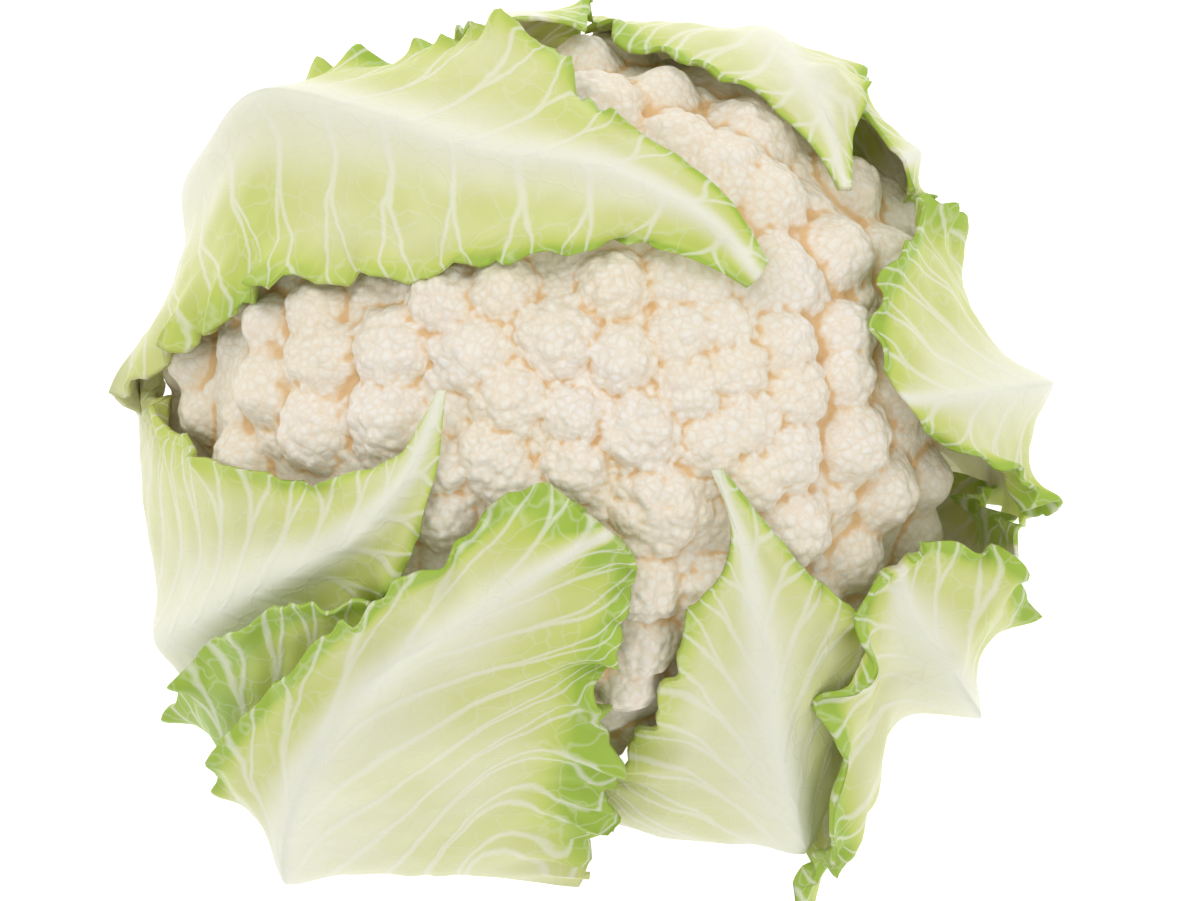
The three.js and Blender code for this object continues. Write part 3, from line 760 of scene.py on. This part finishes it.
def vein_relief(lines, forks, width, look):
    """Height of the side veins, 1 at their middles"""
    numbers = np.abs(np.abs(lines - np.round(lines)) - forks)
    off = numbers * look["spacing"] * math.sin(math.radians(look["angle"]))
    return np.exp(-((off / VEIN_RELIEF["width"]) ** 2)) * smooth(*BY_WIDTH["veins"], width)


def fine_waves(y, v, look, seed):
    """Crinkles of the margin, in mm"""
    edge = smooth(*ACROSS["crinkle"], np.abs(v))
    long = np.sin(y / LONG_WAVE[1] + seed + 1.3 * np.sin(y / 11.0 + seed)) * LONG_WAVE[0]
    short = np.sin(y / SHORT_WAVE[1] + 2.3 * seed + 1.4 * np.sin(y / 6.0)) * SHORT_WAVE[0]
    tiny = np.sin(y / TINY_WAVE[1] + seed) * TINY_WAVE[0]
    return look["crinkle"] * edge * (long + short * edge + tiny * edge)


def teeth(y, seed):
    """How far the margin's edge is cut back along its length, as a share of the blade's width"""
    lobes = LOBES[0] * (1 + np.sin(y / LOBES[1] + seed + 1.6 * np.sin(y / 7.3)))
    return lobes + TEETH[0] * (1 + np.sin(y / TEETH[1] + 3 * seed + np.sin(y / 2.7)))


def leaf_grid(leaf):
    """Shares along the rib and across the blade, closer together towards the margins"""
    rows, half = LEAF_MESH["big" if len(leaf["rib"]) >= BIG_LEAF_STATIONS else "small"]
    side = 1 - (1 - np.linspace(0, 1, half + 1)[1:]) ** LEAF_MESH["gather"]
    return np.linspace(0, 1, rows), np.concatenate([-side[::-1], [0], side])


def worn_edge(look, u, v, y, width, seed):
    """The share across the blade at which each point lies, with the margin's flare and teeth"""
    share = np.abs(v)
    blade = smooth(*ALONG["detail"], u)
    cut = teeth(y + 40 * (v > 0), seed) * smooth(*ACROSS["teeth"], share) * blade
    cut = cut * smooth(*BY_WIDTH["teeth"], width)
    widened = (look["flare"] - 1) * smooth(*ACROSS["flare"], share) * blade
    flare = 1 + widened * (1 - smooth(*ALONG["flare_end"], u))
    return v * flare * (1 - cut)


def puckers(x, y, width, share, veins, seed):
    """How the blade stands up between its side veins and dips along them, in mm"""
    blister = np.sin(y / 2.6 + seed + np.sin(x / 5)) * np.sin(x / 2.9 + 1.3 * np.sin(y / 6 + seed))
    pucker = VEIN_RELIEF["blister"] * blister * (1 - veins) - VEIN_RELIEF["pucker"] * veins
    return pucker * smooth(*ACROSS["pucker"], share) * smooth(*BY_WIDTH["pucker"], width)


def greenness(look, u, share, x, y, ribbed, seed):
    """How green each point is: more in patches, towards the margin and at the tip, less at the foot"""
    cloud = 0.5 + 0.5 * np.sin(y / 17 + seed) * np.sin(x / 11 + 0.7 * seed)
    green = look["green"] * smooth(*ACROSS["green"], share) * (0.6 + 0.8 * cloud)
    green = green + look["margin"] * smooth(*ACROSS["margin"], share) ** 1.5
    return green * smooth(*ALONG["green"], u) + look["tip"] * smooth(*ALONG["tip"], u) * (1 - ribbed)


def leaf_piece(name, leaf, shell):
    """A leaf in fine detail, laid over what the shell holds"""
    look = LOOKS[name]
    lift, ways = draped_lifts(leaf, shell)
    us, vs = leaf_grid(leaf)
    u, v = np.meshgrid(us, vs, indexing="ij")
    seed = 1.7 * len(name) + 3.1 * leaf["rib"][1][0]

    rib_line = curve_points(leaf["rib"], us)
    along = np.concatenate([[0], np.cumsum(np.linalg.norm(np.diff(rib_line, axis=0), axis=1))])
    y = along[:, None] + 0 * v
    width = side_width(leaf, u, v)
    blade = smooth(*ALONG["detail"], u)
    inner = blade_points(leaf, u, worn_edge(look, u, v, y, width, seed))
    at_rows = us * (lift.shape[0] - 1)
    at_columns = np.interp(vs, LEAF_COLUMNS, np.arange(len(LEAF_COLUMNS)))
    inner = inner + lift_way(inner) * between(lift, at_rows, at_columns)[..., None]
    way = unit(between(ways, at_rows, at_columns))

    share = np.abs(v)
    x = share * width
    lines, forks = vein_lines(y, x, width, look, (v > 0).astype(float))
    veins = vein_relief(lines, forks, width, look) * blade * smooth(*ACROSS["veins"], share)
    waves = fine_waves(y, v, look, seed) * blade * smooth(*BY_WIDTH["crinkle"], width)
    inner = inner + way * (waves + puckers(x, y, width, share, veins, seed))[..., None]
    ribbed = rib_share(leaf, u, v)
    thick = leaf_thickness(leaf, u, v) * THINNED + VEIN_RELIEF["thickness"] * veins * (1 - ribbed)
    thick = thick + KNOBS.get(name, 0) * smooth(*ALONG["knob"], u) * np.sqrt(1 - 0.9 * share ** 2)
    outer = inner + way * thick[..., None]
    seat(inner[0])
    seat(outer[0])

    fine = (1.15 - 0.75 * share) / (look["spacing"] * math.sin(math.radians(look["angle"])))
    values = {
        "green": greenness(look, u, share, x, y, ribbed, seed),
        "rib": ribbed, "lines": lines, "forks": forks, "fine": fine,
    }
    return closed_sheet(name, inner, outer, values)


def closed_sheet(name, inner, outer, values):
    """One closed mesh from a leaf's two faces and the rim between them"""
    rows, columns = inner.shape[:2]
    half = rows * columns
    index = np.arange(half).reshape(rows, columns)
    corners = index[:-1, :-1], index[1:, :-1], index[1:, 1:], index[:-1, 1:]
    below = np.stack([corner.ravel() for corner in corners], axis=1)
    above = below[:, [0, 3, 2, 1]] + half
    rim = []
    for line in (index[:, 0], index[::-1, -1], index[0, ::-1], index[-1]):
        p, q = line[:-1], line[1:]
        rim.append(np.stack([p, p + half, q + half, q], axis=1))
    faces = np.concatenate([below, above] + rim)
    points = np.concatenate([inner.reshape(-1, 3), outer.reshape(-1, 3)])
    both = [(key, np.tile(value.ravel(), 2)) for key, value in values.items()]
    return mesh_object(name, points, faces, both)


# The stump

def stump_radius(z):
    """The stump's radius at a height"""
    return STUMP["radius"] + (STUMP["top_radius"] - STUMP["radius"]) * smooth(8, STUMP["height"], z)


def stump_piece():
    """The stump, turned from its profile, with shallow ridges up its side"""
    turns = STUMP_MESH["turns"]
    cut_face = np.linspace(0, STUMP["radius"] - STUMP["bevel"], STUMP_MESH["face_rings"])
    profile = [(r, 0) for r in cut_face]
    side = np.linspace(STUMP["bevel"], STUMP["height"], STUMP_MESH["side_rings"])
    profile += [(stump_radius(z), z) for z in side]
    profile += [(0, STUMP["height"])]
    r, z = np.array(profile).T
    turn = np.arange(turns) * 2 * math.pi / turns
    wave = 1 + np.sin(STUMP_RIDGES["count"] * turn)[None, :]
    ridge = 1 - STUMP_RIDGES["depth"] * wave * smooth(2, 8, z)[:, None]
    radius = r[:, None] * ridge
    points = np.stack([radius * np.cos(turn), radius * np.sin(turn), z[:, None] + 0 * radius], axis=-1)
    index = np.arange(points.shape[0] * turns).reshape(-1, turns)
    after = np.roll(index, -1, axis=1)
    faces = np.stack([index[:-1], index[1:], after[1:], after[:-1]], axis=-1).reshape(-1, 4)[:, ::-1]
    piece = mesh_object("stump", points.reshape(-1, 3), faces)
    joined = bmesh.new()
    joined.from_mesh(piece.data)
    bmesh.ops.remove_doubles(joined, verts=joined.verts, dist=1e-6)
    joined.to_mesh(piece.data)
    joined.free()
    return piece


# Materials

class Nodes:
    """Short ways to wire up one material's nodes"""

    def __init__(self, name):
        self.material = bpy.data.materials.new(name)
        self.material.use_nodes = True
        self.tree = self.material.node_tree
        self.shader = self.tree.nodes["Principled BSDF"]

    def add(self, kind, inputs=(), **settings):
        """A node of a kind, with its settings, and its inputs by name"""
        node = self.tree.nodes.new(kind)
        for key, value in settings.items():
            setattr(node, key, value)
        for key, value in dict(inputs).items():
            self.put(node.inputs[key], value)
        return node

    def put(self, socket, value):
        """Links a socket into another one, or sets its value"""
        if isinstance(value, bpy.types.NodeSocket):
            self.tree.links.new(value, socket)
        else:
            socket.default_value = value

    def attribute(self, name):
        """The number that each point carries under this name"""
        return self.add("ShaderNodeAttribute", attribute_name=name).outputs["Fac"]

    def spread(self, value, low, high):
        """The value as 0 at low to 1 at high"""
        node = self.add("ShaderNodeMapRange", {"Value": value, "From Min": low, "From Max": high})
        return node.outputs["Result"]

    def noise(self, scale, detail=4.0):
        place = self.add("ShaderNodeTexCoord").outputs["Object"]
        node = self.add("ShaderNodeTexNoise", {"Vector": place, "Scale": scale, "Detail": detail})
        return node.outputs["Fac"]

    def warped(self, place, scale, share):
        """The place, shifted by a noise"""
        noise = self.add("ShaderNodeTexNoise", {"Vector": place, "Scale": scale, "Detail": 2.0})
        node = self.add("ShaderNodeVectorMath", operation="MULTIPLY_ADD")
        self.put(node.inputs[0], noise.outputs["Color"])
        self.put(node.inputs[1], (share, share, share))
        self.put(node.inputs[2], place)
        return node.outputs["Vector"]

    def math(self, operation, a, b=0.0):
        node = self.add("ShaderNodeMath", operation=operation)
        self.put(node.inputs[0], a)
        self.put(node.inputs[1], b)
        return node.outputs[0]

    def mix(self, share, a, b):
        """The colour a, with a share of b"""
        node = self.add("ShaderNodeMix", data_type="RGBA")
        self.put(node.inputs[0], share)
        self.put(node.inputs[6], a)
        self.put(node.inputs[7], b)
        return node.outputs[2]

    def ramp(self, value, stops):
        """Colours by value, from stops of a value and a colour"""
        node = self.add("ShaderNodeValToRGB", {"Fac": value})
        while len(node.color_ramp.elements) < len(stops):
            node.color_ramp.elements.new(0.5)
        for element, (place, colour) in zip(node.color_ramp.elements, stops):
            element.position = place
            element.color = colour
        return node.outputs["Color"]

    def bump(self, height, strength, distance):
        node = self.add("ShaderNodeBump", {"Strength": strength, "Distance": distance, "Height": height})
        return node.outputs["Normal"]

    def finish(self, colour, roughness, normal):
        self.put(self.shader.inputs["Base Color"], colour)
        self.put(self.shader.inputs["Roughness"], roughness)
        self.put(self.shader.inputs["Normal"], normal)
        return self.material


def rgb(red, green, blue):
    """A colour as seen on a screen, 0 to 255"""
    def linear(c):
        c /= 255
        return c / 12.92 if c <= 0.04045 else ((c + 0.055) / 1.055) ** 2.4
    return (linear(red), linear(green), linear(blue), 1.0)


# The curd's own cream, and the colours of painted shade in its creases, bud edges, seams, clefts and
# deepest gaps
CREAM_AND_SHADES = {
    "pale": rgb(245, 240, 231), "warm": rgb(244, 236, 217), "crease_shade": rgb(238, 218, 186),
    "bud_edge_shade": rgb(230, 198, 150), "seam_shade": rgb(228, 184, 118), "cleft_shade": rgb(216, 160, 80),
    "deep_shade": rgb(216, 188, 110),
}
# Painted shade: the curd darkens in its hollows by how far down they lie
HOLLOWS = {  # in mm: how deep each kind of hollow is where its colour starts and where it is full
    "crease_shade": (0.02, 0.3), "seam_shade": (0.1, 0.4), "wide_seam": (0.15, 0.7), "cleft_shade": (0.8, 2.4),
    "deep_shade": (6.0, 12.0),
}
GREENS = (
    (0.0, rgb(234, 233, 206)), (0.2, rgb(226, 227, 182)), (0.45, rgb(214, 218, 144)),
    (0.7, rgb(200, 212, 102)), (1.0, rgb(164, 194, 66)),
)
PALE_GREEN = {"net": rgb(226, 229, 194), "vein": rgb(236, 236, 217), "rib": rgb(238, 238, 221)}
STUMP_COLOURS = (
    (0.2, rgb(224, 226, 190)), (0.55, rgb(204, 208, 158)), (0.85, rgb(176, 172, 112)),
)


def curd_material():
    """Cream, with painted shade darkening the creases, seams and clefts between florets, the deepest gaps
    and the edges between the fine buds, and bumped with fine buds
    """
    m = Nodes("curd")
    creases = m.spread(m.attribute("fine"), *HOLLOWS["crease_shade"])
    narrow = m.spread(m.attribute("middle"), *HOLLOWS["seam_shade"])
    seams = m.math("MULTIPLY", narrow, m.spread(m.attribute("wide"), *HOLLOWS["wide_seam"]))
    clefts = m.spread(m.attribute("wide"), *HOLLOWS["cleft_shade"])
    deep_shade_mask = m.spread(m.attribute("deep_shade"), *HOLLOWS["deep_shade"])
    patches = m.spread(m.noise(38.0, 3.0), 0.35, 0.7)
    cream = m.mix(patches, CREAM_AND_SHADES["pale"], CREAM_AND_SHADES["warm"])
    # Painted shade in the fine creases between heads and buds
    crease_shaded = m.mix(m.math("MULTIPLY", creases, 0.5), cream, CREAM_AND_SHADES["crease_shade"])
    # Painted shade along the seams between florets
    seam_shaded = m.mix(m.math("MULTIPLY", seams, 0.8), crease_shaded, CREAM_AND_SHADES["seam_shade"])
    # Painted shade in the clefts between florets
    cleft_shade = m.mix(m.math("MULTIPLY", clefts, 0.6), seam_shaded, CREAM_AND_SHADES["cleft_shade"])
    # Painted shade in the deepest gaps, far below the curd's outline
    colour = m.mix(m.math("MULTIPLY", deep_shade_mask, 0.5), cleft_shade, CREAM_AND_SHADES["deep_shade"])
    place = m.add("ShaderNodeTexCoord").outputs["Object"]
    budding = {"Vector": m.warped(place, 320.0, 0.0012), "Scale": 430.0}
    cells = m.add("ShaderNodeTexVoronoi", budding, feature="DISTANCE_TO_EDGE").outputs["Distance"]
    # Painted shade along the narrow creases at the edges between the fine buds
    bud_edge_shaded = m.mix(m.math("MULTIPLY", m.spread(cells, 0.26, 0.0), 0.3), colour, CREAM_AND_SHADES["bud_edge_shade"])
    buds = m.add("ShaderNodeTexVoronoi", budding, feature="F1").outputs["Distance"]
    normal = m.bump(m.math("SUBTRACT", 1.0, buds), 0.45, 0.0011)
    return m.finish(bud_edge_shaded, 0.62, normal)


def leaf_material():
    """Green that deepens towards the margin, with pale side veins, a net of finer ones, and a pale rib"""
    m = Nodes("leaf")
    cloud = m.math("MULTIPLY", m.math("SUBTRACT", m.noise(45.0), 0.5), 0.5)
    green = m.math("ADD", m.attribute("green"), cloud)
    blade = m.ramp(green, GREENS)
    wobble = m.math("MULTIPLY", m.math("SUBTRACT", m.noise(60.0, 3.0), 0.5), 0.5)
    lines = m.math("ADD", m.attribute("lines"), wobble)
    nearest = m.math("ABSOLUTE", m.math("SUBTRACT", lines, m.math("ROUND", lines)))
    off = m.math("ABSOLUTE", m.math("SUBTRACT", nearest, m.attribute("forks")))
    veins = m.spread(m.math("DIVIDE", off, m.attribute("fine")), 1.1, 0.3)
    place = m.add("ShaderNodeTexCoord").outputs["Object"]
    bent = m.warped(place, 90.0, 0.012)
    net = m.add("ShaderNodeTexVoronoi", {"Vector": bent, "Scale": 130.0}, feature="DISTANCE_TO_EDGE")
    threads = m.spread(net.outputs["Distance"], 0.06, 0.0)
    netted = m.mix(m.math("MULTIPLY", threads, 0.35), blade, PALE_GREEN["net"])
    veined = m.mix(m.math("MULTIPLY", veins, 0.62), netted, PALE_GREEN["vein"])
    rib = m.math("POWER", m.attribute("rib"), 2.5)
    colour = m.mix(m.math("MULTIPLY", rib, 0.8), veined, PALE_GREEN["rib"])
    grain = m.math("MULTIPLY", m.noise(400.0), 0.35)
    height = m.math("ADD", m.math("MULTIPLY", threads, 0.5), grain)
    normal = m.bump(m.math("ADD", height, veins), 0.25, 0.0005)
    rough = m.spread(m.noise(120.0), 0.2, 0.9)
    shine = m.math("ADD", m.math("MULTIPLY", rough, 0.12), 0.4)
    return m.finish(colour, shine, normal)


def stump_material():
    """Pale green with faint rings on the cut face"""
    m = Nodes("stump")
    place = m.add("ShaderNodeTexCoord").outputs["Object"]
    ringed = {"Vector": place, "Scale": 60.0, "Distortion": 3.0}
    rings = m.add("ShaderNodeTexWave", ringed, wave_type="RINGS", rings_direction="Z").outputs["Fac"]
    clouds = m.math("MULTIPLY", m.noise(90.0), 0.7)
    colour = m.ramp(m.math("ADD", m.math("MULTIPLY", rings, 0.3), clouds), STUMP_COLOURS)
    normal = m.bump(m.noise(300.0), 0.4, 0.0006)
    return m.finish(colour, 0.6, normal)


# The white ground, the lights and the camera, in metres and watts

FLOOR = {"size": 6, "white": 0.95, "glow": 0.5, "roughness": 0.9}
LIGHTS = {
    "key": {"place": (-0.35, 0.75, 1.25), "size": 0.9, "power": 5.6},
    "fill": {"place": (0.7, -0.5, 1.1), "size": 1.3, "power": 3.2},
}
LIT_POINT = Vector((0, 0, 0.08))
WHITE = (1, 1, 1, 1)
SURROUND = 0.66
PICTURE_WIDTH = 1200 / 4.5  # in mm, at the height the camera is set for
CAMERA = {"height": 1590, "distance": 1500, "sensor": 36}


def floor_piece():
    bpy.ops.mesh.primitive_plane_add(size=FLOOR["size"], location=(0, 0, 0))
    floor = bpy.context.object
    floor.name = "floor"
    m = Nodes("floor")
    m.put(m.shader.inputs["Base Color"], (FLOOR["white"], FLOOR["white"], FLOOR["white"], 1))
    m.put(m.shader.inputs["Emission Color"], WHITE)
    m.put(m.shader.inputs["Emission Strength"], FLOOR["glow"])
    m.put(m.shader.inputs["Roughness"], FLOOR["roughness"])
    floor.data.materials.append(m.material)
    return floor


def light(name, place, size, power):
    lamp = bpy.data.lights.new(name, "AREA")
    lamp.size = size
    lamp.energy = power
    made = bpy.data.objects.new(name, lamp)
    made.location = place
    made.rotation_euler = (LIT_POINT - Vector(place)).to_track_quat("-Z", "Y").to_euler()
    bpy.context.collection.objects.link(made)


def camera_above():
    """The camera looks straight down, and +Y is up in the picture"""
    optics = bpy.data.cameras.new("camera")
    optics.sensor_width = CAMERA["sensor"]
    optics.lens = CAMERA["sensor"] * CAMERA["distance"] / PICTURE_WIDTH
    camera = bpy.data.objects.new("camera", optics)
    camera.location = (0, 0, CAMERA["height"] * MM)
    bpy.context.collection.objects.link(camera)
    return camera


def surround():
    world = bpy.data.worlds.new("studio")
    world.use_nodes = True
    background = world.node_tree.nodes["Background"]
    background.inputs["Color"].default_value = WHITE
    background.inputs["Strength"].default_value = SURROUND
    return world


# Putting the head together

curd_look = curd_material()
leaf_look = leaf_material()
stump_look = stump_material()

for piece in curd_pieces():
    piece.data.materials.append(curd_look)
    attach(piece, "root")
    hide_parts("curd")

stump = stump_piece()
stump.data.materials.append(stump_look)
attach(stump, "root")
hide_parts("stump")

shell = Shell()
for name, leaf in LEAVES.items():
    piece = leaf_piece(name, leaf, shell)
    piece.data.materials.append(leaf_look)
    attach(piece, "root")
    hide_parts(name)

scene = bpy.context.scene
scene.camera = camera_above()
for name, lamp in LIGHTS.items():
    light(name, **lamp)
scene.world = surround()
scene.view_settings.view_transform = "Standard"

floor_piece()
